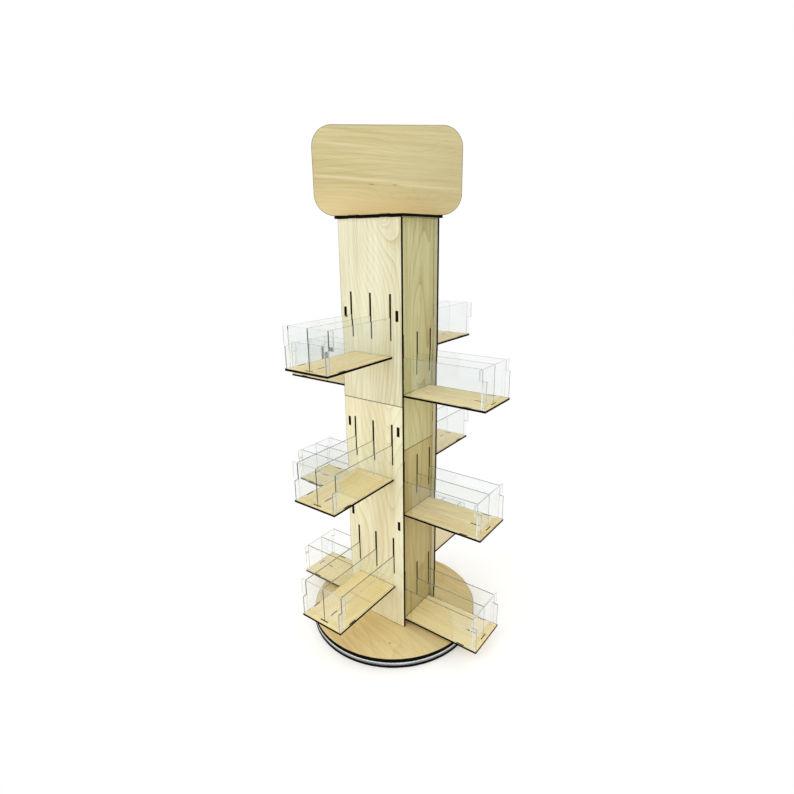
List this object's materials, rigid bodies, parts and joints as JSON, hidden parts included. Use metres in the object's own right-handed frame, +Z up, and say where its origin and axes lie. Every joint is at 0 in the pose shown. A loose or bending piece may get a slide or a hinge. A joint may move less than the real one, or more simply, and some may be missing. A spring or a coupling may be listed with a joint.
{
  "type": "rotating display stand",
  "caption": "Floor or counter display stand: slotted plywood column on a turntable, hung with clear-fronted trays on four faces, with a header board on top.",
  "frame": {"origin": "centre of the stand on the surface that it stands on, at the foot of the base pads", "axes": "+Z up along the spin axis; -Y out of the wide front face of the column; +X out of the right side face"},
  "size_m": [0.462, 0.459, 0.99],
  "materials": {
    "column_plywood": "sanded plywood with burnt edges",
    "shelf_plywood": "sanded plywood with burnt edges",
    "header_plywood": "sanded plywood with burnt edges",
    "disk_plywood": "sanded plywood with burnt edges",
    "clear_acrylic": "clear polished sheet",
    "bearing_aluminium": "satin",
    "ball_steel": "polished",
    "screw_steel": "zinc plated",
    "pad_rubber": "matt"
  },
  "bodies": {
    "base": {"base_disk": "disk_plywood", "outer_race": "bearing_aluminium", "bearing_balls": "ball_steel", "base_screws": "screw_steel", "base_pads": "pad_rubber"},
    "column": {"front_lower_panel": "column_plywood", "front_upper_panel": "column_plywood", "back_lower_panel": "column_plywood", "back_upper_panel": "column_plywood", "column_ribs": "column_plywood", "top_plate": "column_plywood", "header_board": "header_plywood", "right_lower_panel": "column_plywood", "right_upper_panel": "column_plywood", "left_lower_panel": "column_plywood", "left_upper_panel": "column_plywood", "seam_splices": "column_plywood", "header_battens": "column_plywood", "upper_disk": "disk_plywood", "lower_disk": "disk_plywood", "inner_race": "bearing_aluminium", "turntable_screws": "screw_steel"},
    "front_low_tray": {"front_low_shelf": "shelf_plywood", "front_low_dividers": "clear_acrylic", "front_low_plate": "clear_acrylic"},
    "front_middle_tray": {"front_middle_shelf": "shelf_plywood", "front_middle_dividers": "clear_acrylic", "front_middle_plate": "clear_acrylic"},
    "front_high_tray": {"front_high_shelf": "shelf_plywood", "front_high_dividers": "clear_acrylic", "front_high_plate": "clear_acrylic"},
    "right_low_tray": {"right_low_shelf": "shelf_plywood", "right_low_dividers": "clear_acrylic", "right_low_plate": "clear_acrylic"},
    "right_middle_tray": {"right_middle_shelf": "shelf_plywood", "right_middle_dividers": "clear_acrylic", "right_middle_plate": "clear_acrylic"},
    "right_high_tray": {"right_high_shelf": "shelf_plywood", "right_high_dividers": "clear_acrylic", "right_high_plate": "clear_acrylic"},
    "back_low_tray": {"back_low_shelf": "shelf_plywood", "back_low_dividers": "clear_acrylic", "back_low_plate": "clear_acrylic"},
    "back_middle_tray": {"back_middle_shelf": "shelf_plywood", "back_middle_dividers": "clear_acrylic", "back_middle_plate": "clear_acrylic"},
    "back_high_tray": {"back_high_shelf": "shelf_plywood", "back_high_dividers": "clear_acrylic", "back_high_plate": "clear_acrylic"},
    "left_low_tray": {"left_low_shelf": "shelf_plywood", "left_low_dividers": "clear_acrylic", "left_low_plate": "clear_acrylic"},
    "left_middle_tray": {"left_middle_shelf": "shelf_plywood", "left_middle_dividers": "clear_acrylic", "left_middle_plate": "clear_acrylic"},
    "left_high_tray": {"left_high_shelf": "shelf_plywood", "left_high_dividers": "clear_acrylic", "left_high_plate": "clear_acrylic"}
  },
  "joints": [
    {"name": "turntable_spin", "type": "hinge", "parent": "base", "child": "column", "pos_m": [0, 0, 0.018], "axis": [0, 0, 1], "continuous": true},
    {"name": "front_low_tray_lift", "type": "slide", "parent": "column", "child": "front_low_tray", "axis": [0, 0, 1], "range_m": [0, 0.0405]},
    {"name": "front_middle_tray_lift", "type": "slide", "parent": "column", "child": "front_middle_tray", "axis": [0, 0, 1], "range_m": [0, 0.0405]},
    {"name": "front_high_tray_lift", "type": "slide", "parent": "column", "child": "front_high_tray", "axis": [0, 0, 1], "range_m": [0, 0.0405]},
    {"name": "right_low_tray_lift", "type": "slide", "parent": "column", "child": "right_low_tray", "axis": [0, 0, 1], "range_m": [0, 0.0405]},
    {"name": "right_middle_tray_lift", "type": "slide", "parent": "column", "child": "right_middle_tray", "axis": [0, 0, 1], "range_m": [0, 0.0405]},
    {"name": "right_high_tray_lift", "type": "slide", "parent": "column", "child": "right_high_tray", "axis": [0, 0, 1], "range_m": [0, 0.0405]},
    {"name": "back_low_tray_lift", "type": "slide", "parent": "column", "child": "back_low_tray", "axis": [0, 0, 1], "range_m": [0, 0.0405]},
    {"name": "back_middle_tray_lift", "type": "slide", "parent": "column", "child": "back_middle_tray", "axis": [0, 0, 1], "range_m": [0, 0.0405]},
    {"name": "back_high_tray_lift", "type": "slide", "parent": "column", "child": "back_high_tray", "axis": [0, 0, 1], "range_m": [0, 0.0405]},
    {"name": "left_low_tray_lift", "type": "slide", "parent": "column", "child": "left_low_tray", "axis": [0, 0, 1], "range_m": [0, 0.0405]},
    {"name": "left_middle_tray_lift", "type": "slide", "parent": "column", "child": "left_middle_tray", "axis": [0, 0, 1], "range_m": [0, 0.0405]},
    {"name": "left_high_tray_lift", "type": "slide", "parent": "column", "child": "left_high_tray", "axis": [0, 0, 1], "range_m": [0, 0.0405]}
  ]
}
